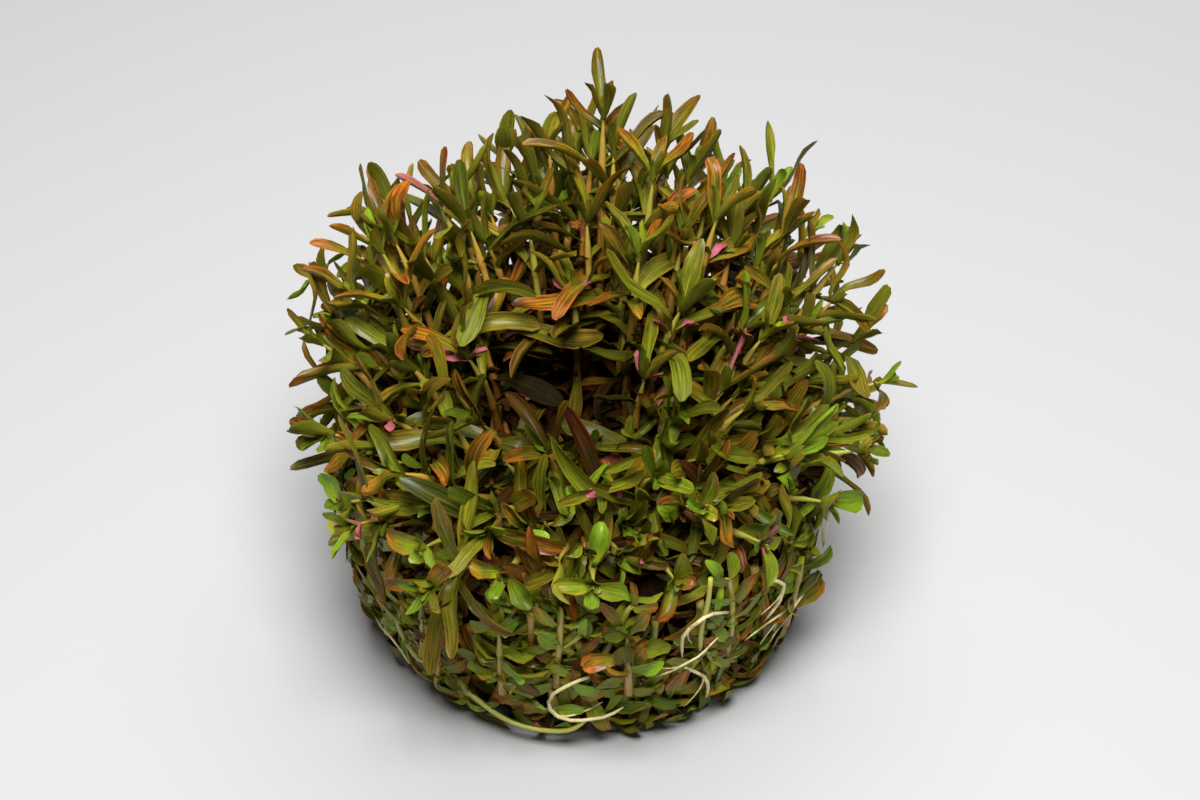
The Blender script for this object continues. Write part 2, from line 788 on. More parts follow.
def long_outline(along):
    """Share of a long leaf's width: as wide as its stem at the foot, blunt at the tip."""
    return np.maximum(along ** 0.62 * (1 - along) ** 0.33 / LONG_PEAK, 0.38 - 0.12 * along)


def round_outline(along):
    """Share of a round leaf's width: narrow at the stalk, broad beyond the middle."""
    return np.maximum(along ** 0.8 * (1 - along) ** 0.45 / ROUND_PEAK, 0.16 + 0.14 * along)


LEAF_KINDS = {
    "long": (leaf_blank(*LONG_GRID), long_outline),
    "young": (leaf_blank(*YOUNG_GRID), long_outline),
    "round": (leaf_blank(*ROUND_GRID), round_outline),
}


class Blade:
    """One fine leaf: where it starts, how it is bent and how it is coloured.

    A leaf pressed to the wall looks a set way, upper, and any other as its bend turns it.
    """

    def __init__(self, kind, place, out, face, size, arch, tint, chance):
        self.kind = kind
        self.place = place
        self.out = out
        self.face = face
        self.upper = Vector()
        self.length, self.width = size
        self.arch = arch
        self.curl = chance.uniform(-0.55, 0.55)
        self.twist = chance.gauss(0, 0.55)
        self.fold = chance.uniform(0.3, 1.7)
        self.wave = chance.uniform(0, 0.3)
        self.sway = chance.gauss(0, 0.045)
        self.own = chance.random()
        self.phase = chance.uniform(0, math.tau)
        self.thickness = LEAF_HALF_THICKNESS * chance.uniform(0.8, 1.2)
        self.tint = tint


def unit(vectors):
    """Vectors of length one."""
    return vectors / np.maximum(np.linalg.norm(vectors, axis=-1, keepdims=True), 1e-9)


def bent_blades(kind, blades):
    """The points of many leaves: the kind's blank along each leaf's arch, fold and twist."""
    blank, outline = LEAF_KINDS[kind]
    across, along, side = (values[None, :, None] for values in blank.spots.T)

    def of_each(name):
        values = np.array([getattr(blade, name) for blade in blades], dtype=float)
        return values.reshape(len(blades), 1, -1)

    arch = of_each("arch")
    turn = arch * along
    reach = of_each("length") / arch
    out, face = of_each("out"), of_each("face")
    ahead = np.cos(turn) * out - np.sin(turn) * face
    rising = np.cos(turn) * face + np.sin(turn) * out
    place = of_each("place") + reach * (np.sin(turn) * out - (1 - np.cos(turn)) * face)

    upper = of_each("upper")
    looks = np.where(np.abs(upper).sum(-1, keepdims=True) > 0.5, upper, rising)
    sideways = np.cross(ahead, looks)
    drift = np.where(np.abs(upper).sum(-1, keepdims=True) > 0.5, looks, sideways)
    place = place + of_each("curl") * of_each("length") * 0.5 * along ** 2 * drift
    place = place + of_each("sway") * of_each("length") * np.sin(math.tau * along) * looks
    twist = of_each("twist") * along
    sideways, looks = (
        np.cos(twist) * sideways - np.sin(twist) * looks,
        np.cos(twist) * looks + np.sin(twist) * sideways,
    )

    uneven = 1 + 0.12 * np.sin(7 * along + 2 * of_each("phase"))
    half = 0.5 * of_each("width") * outline(along) * uneven
    fold = of_each("fold")
    lift = half * (1 - np.cos(fold * across)) / fold
    lift = lift + of_each("wave") * half * across ** 2 * np.sin(9 * along + of_each("phase"))
    thick = of_each("thickness") * np.sqrt(np.maximum(1 - across ** 2, 0)) * np.sqrt(outline(along))
    return place + half * np.sin(fold * across) / fold * sideways + (lift + side * thick) * looks


class Growth:
    """Gathers the leaves and the tubes of one piece, then makes them its mesh."""

    def __init__(self):
        self.blades = []
        self.tubes = []

    def add_tube(self, finish, points, radii, tints, outward=None):
        """A tube through points, with a radius and a tint at each."""
        points, radii = np.array(points, dtype=float), np.array(radii, dtype=float)
        ahead = unit(np.gradient(points, axis=0))
        if outward is None:
            outward = points * (1, 1, 0) + (1e-3, 0, 0)
        outward = np.broadcast_to(outward, points.shape)
        outward = unit(outward - (outward * ahead).sum(1, keepdims=True) * ahead)
        sideways = np.cross(ahead, outward)
        blank = tube_blank(len(points))
        ring = np.round(blank.spots[:, 2] * (len(points) - 1)).astype(int)
        x, y = blank.spots[:, :1], blank.spots[:, 1:2]
        places = points[ring] + radii[ring, None] * (x * outward[ring] + y * sideways[ring])
        tints = np.broadcast_to(np.array(tints, dtype=float), (len(points), 4))[ring]
        self.tubes.append((finish, blank, places, tints))

    def finish(self, name, leaf_finish, reshape=None):
        """The piece: every leaf and tube in one mesh, with its chart, its tints and its margins."""
        parts = []
        band = min(0.3, 0.03 * len(self.tubes)) if self.blades else 1.0
        for index, (finish, blank, places, tints) in enumerate(self.tubes):
            strip = band / len(self.tubes)
            chart = blank.chart * (1, strip) + (0, index * strip)
            spots = blank.spots * (0, 1, 0) + (0, 0, 0)
            parts.append((finish, blank, places[None], tints[None], spots, chart[None], False, [0.5]))

        count = len(self.blades)
        columns = math.ceil(math.sqrt(count)) if count else 1
        size = np.array((1 / columns, (1 - band) / max(1, math.ceil(count / columns))))
        done = 0
        for kind, (blank, _) in LEAF_KINDS.items():
            blades = [blade for blade in self.blades if blade.kind == kind]
            if not blades:
                continue
            numbers = np.arange(done, done + len(blades))
            done += len(blades)
            corner = np.stack([numbers % columns, numbers // columns], axis=1) * size + (0, band)
            chart = blank.chart[None] * size + corner[:, None]
            places = bent_blades(kind, blades)
            tints = np.repeat(np.array([blade.tint for blade in blades])[:, None], places.shape[1], 1)
            own = [blade.own for blade in blades]
            parts.append((leaf_finish, blank, places, tints, blank.spots, chart, True, own))
        return joined_mesh(name, parts, reshape)


def joined_mesh(name, parts, reshape):
    """One object from shapes that are each repeated a number of times."""
    places, tints, spots, corners, sizes, charts, finishes, rims, owns = ([] for _ in range(9))
    materials = []
    first = 0
    for finish, blank, where, tint, spot, chart, has_rim, own in parts:
        if finish not in materials:
            materials.append(finish)
        repeats, points = where.shape[:2]
        starts = first + points * np.arange(repeats)
        first += points * repeats
        places.append(where.reshape(-1, 3))
        tints.append(tint.reshape(-1, 4))
        spots.append(np.tile(spot, (repeats, 1)))
        corners.append((starts[:, None] + blank.corners).ravel())
        sizes.append(np.tile(blank.sizes, repeats))
        charts.append(chart.reshape(-1, 2))
        finishes.append(np.full(repeats * len(blank.sizes), materials.index(finish)))
        rims.append(np.tile((blank.spots[:, 2] == 0) & has_rim, repeats))
        owns.append(np.repeat(own, points))
    places, sizes, rim = np.concatenate(places), np.concatenate(sizes), np.concatenate(rims)
    if reshape:
        places = reshape(places)

    mesh = bpy.data.meshes.new(name)
    mesh.vertices.add(len(places))
    mesh.vertices.foreach_set("co", (places * METRES).ravel())
    mesh.loops.add(int(sizes.sum()))
    mesh.loops.foreach_set("vertex_index", np.concatenate(corners).astype(np.int32))
    mesh.polygons.add(len(sizes))
    mesh.polygons.foreach_set("loop_start", np.concatenate([[0], np.cumsum(sizes)[:-1]]).astype(np.int32))
    mesh.polygons.foreach_set("material_index", np.concatenate(finishes).astype(np.int32))
    mesh.update(calc_edges=True)
    mesh.polygons.foreach_set("use_smooth", np.ones(len(sizes), dtype=bool))
    mesh.uv_layers.new(name="OFBake")
    mesh.uv_layers["OFBake"].data.foreach_set("uv", np.concatenate(charts).ravel())
    mesh.attributes.new("leaf_place", "FLOAT_VECTOR", "POINT").data.foreach_set(
        "vector", np.concatenate(spots).ravel()
    )
    mesh.attributes.new("leaf_tint", "FLOAT_COLOR", "POINT").data.foreach_set(
        "color", np.concatenate(tints).ravel()
    )
    mesh.attributes.new("leaf_own", "FLOAT", "POINT").data.foreach_set("value", np.concatenate(owns))
    ends = np.zeros(len(mesh.edges) * 2, dtype=np.int32)
    mesh.edges.foreach_get("vertices", ends)
    mesh.attributes.new("sharp_edge", "BOOLEAN", "EDGE").data.foreach_set(
        "value", rim[ends.reshape(-1, 2)].all(1)
    )
    for material in materials:
        mesh.materials.append(material)
    piece = bpy.data.objects.new(name, mesh)
    bpy.context.scene.collection.objects.link(piece)
    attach(piece, "root")
    return piece


# Finishes


class Socket:
    """A shader value that Python's arithmetic works on."""

    def __init__(self, finish, output):
        self.finish = finish
        self.output = output

    def math(self, operation, *values):
        return self.finish.add("ShaderNodeMath", {"operation": operation}, dict(enumerate(values)))

    def __add__(self, other):
        return self.math("ADD", self, other)

    def __radd__(self, other):
        return self.math("ADD", other, self)

    def __sub__(self, other):
        return self.math("SUBTRACT", self, other)

    def __rsub__(self, other):
        return self.math("SUBTRACT", other, self)

    def __mul__(self, other):
        return self.math("MULTIPLY", self, other)

    def __rmul__(self, other):
        return self.math("MULTIPLY", other, self)

    def __pow__(self, other):
        return self.math("POWER", self, other)

    def __abs__(self):
        return self.math("ABSOLUTE", self)

    def part(self, name):
        """Another output of the same node."""
        return Socket(self.finish, self.output.node.outputs[name])


class Finish:
    """A material that is made of nodes around one Principled shader."""

    def __init__(self, name, **constants):
        self.material = bpy.data.materials.new(name)
        self.material.use_nodes = True
        self.tree = self.material.node_tree
        self.shader = self.tree.nodes["Principled BSDF"]
        for socket, value in constants.items():
            self.shader.inputs[socket.replace("_", " ").title().replace("Ior", "IOR")].default_value = value

    def add(self, kind, settings, sockets, output=0):
        """A node of any kind: its settings first, then values or links for its sockets."""
        node = self.tree.nodes.new(kind)
        for name, value in settings.items():
            if name == "stops":
                for element in list(node.color_ramp.elements)[1:]:
                    node.color_ramp.elements.remove(element)
                node.color_ramp.elements[0].position, node.color_ramp.elements[0].color = value[0]
                for position, colour in value[1:]:
                    node.color_ramp.elements.new(position).color = colour
            else:
                setattr(node, name, value)
        for name, value in sockets.items():
            self.set(self.socket(node, name), value)
        return Socket(self, node.outputs[output])

    @staticmethod
    def socket(node, name):
        """A node's input by its number or its identifier."""
        if isinstance(name, int):
            return node.inputs[name]
        return next(entry for entry in node.inputs if name in (entry.identifier, entry.name))

    def set(self, socket, value):
        """Give a socket a value or a link."""
        if isinstance(value, Socket):
            self.tree.links.new(value.output, socket)
        else:
            socket.default_value = value

    def feed(self, **sockets):
        """Link what varies to the shader."""
        for name, value in sockets.items():
            self.set(self.shader.inputs[name.replace("_", " ").title()], value)
        return self.material

    def attribute(self, name, output):
        return self.add("ShaderNodeAttribute", {"attribute_name": name}, {}, output)

    def split(self, vector):
        """The three parts of a vector."""
        first = self.add("ShaderNodeSeparateXYZ", {}, {"Vector": vector})
        return first, first.part("Y"), first.part("Z")

    def places(self):
        return self.add("ShaderNodeTexCoord", {}, {}, "Object")

    def noise(self, scale, detail=3.0, roughness=0.55, vector=None):
        """Smooth noise from 0 to 1, its scale in waves to the metre."""
        return self.add("ShaderNodeTexNoise", {}, {
            "Vector": vector or self.places(), "Scale": scale, "Detail": detail, "Roughness": roughness,
        })

    def step(self, value, low, high):
        """From 0 at low to 1 at high, smoothly."""
        return self.add("ShaderNodeMapRange", {"interpolation_type": "SMOOTHSTEP"}, {
            "Value": value, "From Min": low, "From Max": high,
        })

    def blend(self, factor, first, second, way="MIX"):
        """A mix of two colours."""
        settings = {"data_type": "RGBA", "blend_type": way, "clamp_factor": True}
        return self.add("ShaderNodeMix", settings, {
            "Factor_Float": factor, "A_Color": first, "B_Color": second,
        }, 2)

    def bump(self, height, distance):
        """A normal that follows a height, its distance in metres."""
        return self.add("ShaderNodeBump", {}, {"Height": height, "Distance": distance})


OLIVE = (0.124, 0.136, 0.008, 1)
DARK_GREEN = (0.030, 0.042, 0.003, 1)
BRIGHT_GREEN = (0.150, 0.265, 0.010, 1)
FRESH_BASE = (0.320, 0.270, 0.012, 1)
PALE_RIB = (0.330, 0.320, 0.030, 1)
ORANGE = (0.330, 0.105, 0.008, 1)
BROWN_RED = (0.130, 0.026, 0.006, 1)
PINK = (0.500, 0.160, 0.190, 1)
DEEP_PINK = (0.430, 0.060, 0.090, 1)
OLD_STAIN = (0.150, 0.085, 0.030, 1)
UNDERSIDE = (0.170, 0.190, 0.020, 1)
STEM_GREEN = (0.340, 0.340, 0.045, 1)
STEM_TAN = (0.460, 0.160, 0.018, 1)
ROOT_CREAM = (0.640, 0.560, 0.280, 1)
ROOT_BROWN = (0.260, 0.170, 0.050, 1)
TANGLE_DARK = (0.008, 0.004, 0.001, 1)
TANGLE_LIGHT = (0.030, 0.012, 0.003, 1)


def leaf_finish(name, roughness, coat, gloss, stripes):
    """A waxy leaf: streaked green, a pale midrib, and a blush towards the tip and the margins."""
    finish = Finish(
        name, coat_roughness=0.24, subsurface_weight=0.1, subsurface_radius=(1.0, 0.9, 0.2),
        subsurface_scale=0.0006, specular_ior_level=gloss,
    )
    across, along, side = finish.split(finish.attribute("leaf_place", "Vector"))
    tint = finish.attribute("leaf_tint", "Color")
    own = finish.attribute("leaf_own", "Fac")
    age = tint.part("Alpha")
    tone, blush, pink = finish.split(tint)
    lengthwise = finish.add("ShaderNodeCombineXYZ", {}, {
        0: across * 2.2 + own * 40, 1: along * 1.1 + own * 23, 2: own * 31,
    })
    streak = finish.noise(2.4, 3.0, 0.6, lengthwise)
    fine = finish.noise(1500, 3.0)
    wide = finish.noise(320, 2.0)
    edge = abs(across)

    colour = finish.blend(finish.step(tone + streak * 0.3, 0.1, 0.7), DARK_GREEN, OLIVE)
    colour = finish.blend(finish.step(tone + wide * 0.3, 0.68, 1.3), colour, BRIGHT_GREEN)
    colour = finish.blend(finish.step(along, 0.6, 0.0) * tone * 0.75, colour, FRESH_BASE)
    reach = finish.step(along * 0.9 + edge * 0.3 + streak * 0.8, 0.75, 1.5)
    flushed = finish.blend(finish.step(streak * 0.6 + wide * 0.4, 0.38, 0.6), BROWN_RED, ORANGE)
    colour = finish.blend(blush * (0.1 + 1.3 * reach), colour, flushed)
    colour = finish.blend(finish.step(edge, 0.8, 1.0) * (0.15 + 0.6 * blush), colour, ORANGE)
    depths = 1.0 - stripes + 1.1 * stripes * finish.step(streak, 0.3, 0.7) + fine * 0.3
    colour = finish.blend(1.0, colour, depths * (0.52 + 0.7 * own), "MULTIPLY")
    rib = finish.step(edge, 0.15, 0.02) * (0.34 - 0.28 * along)
    colour = finish.blend(rib, colour, PALE_RIB)
    colour = finish.blend(finish.step(side, 0.3, -0.3) * 0.3, colour, UNDERSIDE)
    pinkish = finish.blend(finish.step(streak, 0.35, 0.65), DEEP_PINK, PINK)
    colour = finish.blend(pink, colour, pinkish)
    colour = finish.blend(age, colour, OLD_STAIN, "MULTIPLY")

    height = rib * -1.0 + streak * 1.0 + wide * 0.6 + finish.noise(2600, 1.0) * 0.3
    return finish.feed(
        base_color=colour,
        roughness=roughness + 0.18 * streak + age * 0.3,
        coat_weight=coat - age * coat,
        normal=finish.bump(height, 0.00012),
    )


def stem_finish():
    """A smooth stem: green to tan, redder at its joints."""
    finish = Finish("stem_skin", coat_weight=0.25, coat_roughness=0.15, subsurface_weight=0.15,
                    subsurface_radius=(1.0, 0.8, 0.3), subsurface_scale=0.0006)
    tint = finish.attribute("leaf_tint", "Color")
    tone, blush, _ = finish.split(tint)
    streaks = finish.noise(700, 3.0)
    colour = finish.blend(finish.step(tone + streaks * 0.3, 0.15, 0.95), STEM_TAN, STEM_GREEN)
    colour = finish.blend(blush * (0.4 + streaks * 0.6), colour, BROWN_RED)
    colour = finish.blend(tint.part("Alpha"), colour, OLD_STAIN, "MULTIPLY")
    return finish.feed(
        base_color=colour,
        roughness=0.32 + 0.2 * streaks,
        normal=finish.bump(finish.noise(1800, 2.0), 0.00008),
    )


def root_finish():
    """A cream root with tan marks."""
    finish = Finish("root_skin", subsurface_weight=0.2, subsurface_radius=(1.0, 0.8, 0.5),
                    subsurface_scale=0.0005)
    marks = finish.noise(420, 3.0)
    colour = finish.blend(finish.step(marks, 0.48, 0.72), ROOT_CREAM, ROOT_BROWN)
    return finish.feed(
        base_color=colour,
        roughness=0.4 + 0.2 * marks,
        normal=finish.bump(finish.noise(2200, 2.0), 0.00006),
    )


def tangle_finish():
    """The dark tangle behind the leaves: crossing strands in brown and olive."""
    finish = Finish("old_tangle", specular_ior_level=0.05)
    stretched = finish.add("ShaderNodeMapping", {}, {"Vector": finish.places(), "Scale": (1, 1, 0.35)})
    strands = finish.noise(900, 5.0, 0.65, stretched)
    patches = finish.noise(160, 2.0)
    colour = finish.blend(finish.step(strands * 0.7 + patches * 0.3, 0.42, 0.7), TANGLE_DARK, TANGLE_LIGHT)
    return finish.feed(
        base_color=colour,
        roughness=0.5 + 0.3 * patches,
        normal=finish.bump(strands, 0.0008),
    )


# Dressing the growth


def shade_at(point):
    """How deep a point lies inside the clump, from 0 in the open to 1 in the dark."""
    if is_in_hollow(point):
        return HOLLOW_SHADE
    top = crown_height(point.x, point.y)
    share = (top - point.z) / max(top - MAT_HEIGHT + 3, 10)
    shade = limit((share - SHADE_SHARES[0]) / (SHADE_SHARES[1] - SHADE_SHARES[0]))
    shade *= limit((SHADE_RADII[0] - point.xy.length) / (SHADE_RADII[0] - SHADE_RADII[1]))
    about_hollow = HOLLOW_RIM_SHADE * limit(2.9 - 1.9 * hollow_away(point))
    return max(shade, GAP_SHADE * gap_at(point), about_hollow)


def leaf_tint(chance, tone, blush, pink_share=0.0, age=0.0):
    """A leaf's own tone, blush, pinkness and age, near the given ones."""
    pink = 1.0 if chance.random() < pink_share else 0.0
    blush += 0.5 if chance.random() < 0.22 else -0.12
    return (
        limit(chance.gauss(tone, 0.18)), limit(chance.gauss(blush, 0.2)),
        pink * chance.uniform(0.35, 0.75), limit(age),
    )


def blade_of(leaf, kind, tint, chance):
    """The fine leaf that lies where a grown leaf does."""
    size = (LEAF_FULLER[0] * leaf.length, LEAF_FULLER[1] * leaf.width)
    blade = Blade(kind, leaf.place, leaf.out, leaf.face, size, leaf.arch, tint, chance)
    if leaf.pressed:
        outward = Vector((leaf.place.x, leaf.place.y, 0))
        blade.upper = leaf.across if leaf.across.dot(outward) > 0 else -leaf.across
    return blade


def size_in(chance, ranges, grow=1.0):
    """A length and a width within their ranges."""
    length, width = ranges
    return chance.uniform(*length) * grow, chance.uniform(*width) * grow


def young_leaf(place, ahead, side, size, spread, tint, chance):
    """A small leaf of the growing tip or of a side bud."""
    spread = math.radians(spread)
    out = math.cos(spread) * ahead + math.sin(spread) * side
    face = math.sin(spread) * ahead - math.cos(spread) * side
    return Blade("young", place, out, face, size, chance.uniform(0.05, 0.5), tint, chance)


def dress_tip(growth, shoot, tone, blush):
    """The youngest leaves, upright in the middle of the crown."""
    chance = shoot.chance
    place, ahead, across, up = shoot.stem.at(1)
    leaves = TIP_LEAVES
    if shoot.has_round_leaves():
        leaves = SPRIG_TIP_LEAVES
    elif shoot.pairs[0][0] < 10:
        leaves = LOW_TIP_LEAVES
    for index, (length, width, spread) in enumerate(leaves):
        side = across if index % 2 else up
        for way in (side, -side):
            length_here = length * chance.uniform(0.8, 1.15)
            tint = leaf_tint(chance, tone + 0.38, 0.5 * blush, 0.0, 0.9 * shade_at(place))
            growth.blades.append(young_leaf(
                place + 0.5 * index * ahead, ahead, way, (length_here, width),
                spread + chance.uniform(-5, 5), tint, chance,
            ))


def dress_stem(growth, shoot, tone, blush, age):
    """The stem as a tube that swells and reddens at each leaf pair, and thins to its tip."""
    stem = shoot.stem
    tip = 1 + 1.2 / stem.length
    nodes = [share for share in shoot.shares if share > 0]
    shares = {0.0, tip}
    for node in nodes:
        shares |= {node + off / stem.length for off in (-1.0, -0.35, 0, 0.35)}
        shares.add(node - 0.5 * shoot.step)
    shares = sorted(share for share in shares if 0 <= share <= tip)
    shares = [share for share, after in zip(shares, shares[1:] + [9]) if after - share > 0.002]
    points, radii, tints = [], [], []
    for share in shares:
        near = max(math.exp(-(((share - node) * stem.length / 0.5) ** 2)) for node in nodes)
        points.append(stem.at(share)[0])
        near *= limit((1 - share) * stem.length / 2)
        thinning = limit(0.15 + 0.85 * (tip - share) * stem.length / TIP_THINNING)
        swelling = 1 + JOINT_SWELLING * near
        radii.append(STEM_FULLER * stem.half_width(share) * swelling * thinning)
        redness = limit(blush * 0.3 + 0.4 * near)
        tints.append((limit(tone + 0.55 * share - 0.5), redness, 0, age * shade_at(points[-1])))
    growth.add_tube(STEM_SKIN, points, radii, tints)


def dress_bare_joints(growth, shoot, tone, blush):
    """Small leaves at the joints where a full one found no room."""
    chance = shoot.chance
    for index in range(1, len(shoot.shares)):
        place, ahead, sides = shoot.sides(index)
        grown = [side for side, _ in shoot.leaves.get(index, [])]
        for side in sides:
            if any(side.dot(other) > 0.5 for other in grown) or chance.random() < 0.2:
                continue
            size = size_in(chance, SIDE_LEAF)
            tint = leaf_tint(chance, tone, blush, 0.03, 0.9 * shade_at(place))
            growth.blades.append(young_leaf(place, ahead, side, size, chance.uniform(40, 90), tint, chance))


def dress_shoot(growth, shoot, tone, blush):
    """A rising shoot: its leaves, its young tip, its side buds and its stem."""
    chance = shoot.chance
    kind = "round" if shoot.has_round_leaves() else "long"
    for index, leaves in shoot.leaves.items():
        depth = index / 6
        for side, leaf in leaves:
            shade = shade_at(leaf.at(0.6)[0])
            tint = leaf_tint(
                chance, tone - 0.35 * depth, blush * (1 - 0.3 * depth), 0.006 * (kind == "long"),
                shade * chance.uniform(0.6, 0.95),
            )
            growth.blades.append(blade_of(leaf, kind, tint, chance))
            if index and chance.random() < 0.4:
                size = size_in(chance, BUD_LEAF)
                bud_tint = leaf_tint(chance, tone + 0.25, 0.2 * blush, 0.2, 0.8 * shade)
                growth.blades.append(young_leaf(
                    leaf.place, leaf.ahead, side, size, chance.uniform(18, 40), bud_tint, chance
                ))
    dress_bare_joints(growth, shoot, tone - 0.15, blush)
    dress_tip(growth, shoot, tone, blush)
    for index in shoot.pink_joints:
        place, ahead, sides = shoot.sides(index)
        for side in sides:
            size = size_in(chance, PINK_LEAF)
            growth.blades.append(young_leaf(
                place, ahead, side, size, chance.uniform(25, 60), (0.6, 0.0, 0.95, 0.0), chance
            ))
    dress_stem(growth, shoot, tone, blush, 0.8)


def shoot_look(shoot):
    """A shoot's tone and blush: greener and fresher at the front, flushed at the back."""
    chance = shoot.chance
    crown = shoot.stem.crown
    if shoot.has_round_leaves():
        return chance.uniform(0.85, 1.1), chance.uniform(0.0, 0.12)
    tall = limit((crown.z - 42) / 22)
    return chance.uniform(0.36, 0.74) - 0.06 * tall, chance.uniform(0.05, 0.55) + 0.15 * tall


def cup_surface(run):
    """Radius, height and lean of the cup, at a run from the middle of its floor outwards."""
    if run < FLOOR_RADIUS:
        return run, 0.0, -math.pi / 2
    arc = (run - FLOOR_RADIUS) / CORNER_RADIUS
    if arc < math.pi / 2:
        height = CORNER_RADIUS * (1 - math.cos(arc))
        return FLOOR_RADIUS + CORNER_RADIUS * math.sin(arc), height, arc - math.pi / 2
    rest = run - FLOOR_RADIUS - CORNER_RADIUS * math.pi / 2
    flare = math.atan2(
        WALL_TOP_RADIUS - FLOOR_RADIUS - CORNER_RADIUS, WALL_TOP_HEIGHT - CORNER_RADIUS
    )
    radius = FLOOR_RADIUS + CORNER_RADIUS + rest * math.sin(flare)
    return radius, CORNER_RADIUS + rest * math.cos(flare), -flare


def cup_frame(angle, run, depth):
    """A place near the cup's surface, the way up it, the way round it and the way out of it."""
    radius, height, lean = cup_surface(run)
    radial = ring_point(1, angle, 0)
    around = Vector((math.cos(math.radians(angle)), math.sin(math.radians(angle)), 0))
    out = math.cos(lean) * radial + math.sin(lean) * Vector((0, 0, 1))
    up = -math.sin(lean) * radial + math.cos(lean) * Vector((0, 0, 1))
    return radius * radial + Vector((0, 0, height)) + depth * out, up, around, out


def softly_positive(values, softness):
    """Values kept above zero, with a soft bend near it."""
    steps = values / softness
    return softness * np.where(steps > 20, steps, np.log1p(np.exp(np.minimum(steps, 20))))


def pressed_to_cup(places):
    """Leaf points eased back inside the cup, a little fuller on its left, and onto its flat floor."""
    radius = np.hypot(places[:, 0], places[:, 1])
    height = np.maximum(places[:, 2], 0)
    drop = np.maximum(CORNER_RADIUS - height, 0)
    wall = FLOOR_RADIUS + np.sqrt(CORNER_RADIUS ** 2 - drop ** 2)
    share = np.clip((height - CORNER_RADIUS) / (WALL_TOP_HEIGHT - CORNER_RADIUS), 0, 1)
    wall = wall + share * (WALL_TOP_RADIUS - FLOOR_RADIUS - CORNER_RADIUS)
    eased = wall + CUP_LIMIT - softly_positive(wall + CUP_LIMIT - radius, CUP_SOFTNESS)
    scale = (eased / np.maximum(radius, 1e-6))[:, None]
    flat = places * np.where(radius[:, None] > 5, np.hstack([scale, scale, np.ones_like(scale)]), 1)
    turn = np.degrees(np.arctan2(places[:, 0], -places[:, 1]))
    bulge = BULGE * np.exp(-(((turn - BULGE_ANGLE) / BULGE_SPREAD) ** 2)) * np.clip(height / 7, 0, 1)
    flat[:, :2] *= (1 + bulge / np.maximum(radius, 5))[:, None]
    flat[:, 2] = softly_positive(flat[:, 2], FLOOR_SOFTNESS)
    return flat


def wall_tint(chance, deep, place):
    """The colours of the mat's leaves: mostly green, some flushed or old."""
    mood = chance.random()
    gap = gap_at(place)
    if deep or gap > 0.2:
        return leaf_tint(chance, 0.4, 0.8, 0.0, max(gap, chance.uniform(0.45, 0.95)))
    if mood < 0.2:
        return leaf_tint(chance, 0.6, 0.9)
    if mood < 0.6:
        return leaf_tint(chance, 1.15, 0.15)
    return leaf_tint(chance, 0.85, 0.5, 0.0, max(0, chance.uniform(-0.6, 0.4)))


def tilted(ahead, out, tilt):
    """A direction and the one its face looks, both tipped away from the cup."""
    return (
        math.cos(tilt) * ahead + math.sin(tilt) * out,
        math.cos(tilt) * out - math.sin(tilt) * ahead,
    )


def rolled(ahead, face, roll):
    """A face turned about the way that its leaf runs, by an angle in degrees."""
    roll = math.radians(roll)
    return math.cos(roll) * face + math.sin(roll) * ahead.cross(face)


def loose_leaf(chance, angle, run, depth, deep=False):
    """A leaf that points up, or hangs away from the surface; now and then a small pink one."""
    hangs = chance.random() < HANGING_SHARE
    place, up, around, out = cup_frame(angle, run, depth - (1.2 if hangs else 0))
    heading = math.radians(chance.gauss(180 if hangs else 0, HEADING_SPREAD))
    tilt = math.radians(chance.uniform(*(HANGING_TILT if hangs else STANDING_TILT)))
    ahead, face = tilted(math.cos(heading) * up + math.sin(heading) * around, out, tilt)
    face = rolled(ahead, face, chance.gauss(0, LEAF_ROLL))
    kind, tint = "round", wall_tint(chance, deep, place)
    size = size_in(chance, WALL_ROUND_LEAF)
    mood = chance.random()
    if mood < 0.5:
        kind, size = "long", size_in(chance, WALL_LONG_LEAF)
    elif mood < 0.56 and not deep:
        kind, size, tint = "young", size_in(chance, WALL_PINK_LEAF), (0.5, 0, 0.9, 0)
    return Blade(kind, place, ahead, face, size, chance.uniform(0.4, 1.3), tint, chance)


def wall_pair(growth, chance, place, ahead, out, grow):
    """Two small leaves at a joint of a stem on the wall, tipped away from it."""
    side = out.cross(ahead)
    if gap_at(place) > 0.5:
        return
    for way in (side, -side):
        spread = math.radians(chance.uniform(25, 80))
        tilt = math.radians(chance.uniform(-5, 50))
        heading, face = tilted(math.cos(spread) * ahead + math.sin(spread) * way, out, tilt)
        face = rolled(heading, face, chance.gauss(0, LEAF_ROLL))
        size = size_in(chance, WALL_PAIR_LEAF, grow)
        kind = "long" if chance.random() < 0.3 else "round"
        tint = wall_tint(chance, False, place)
        arch = chance.uniform(0.5, 1.4)
        growth.blades.append(Blade(kind, place, heading, face, size, arch, tint, chance))


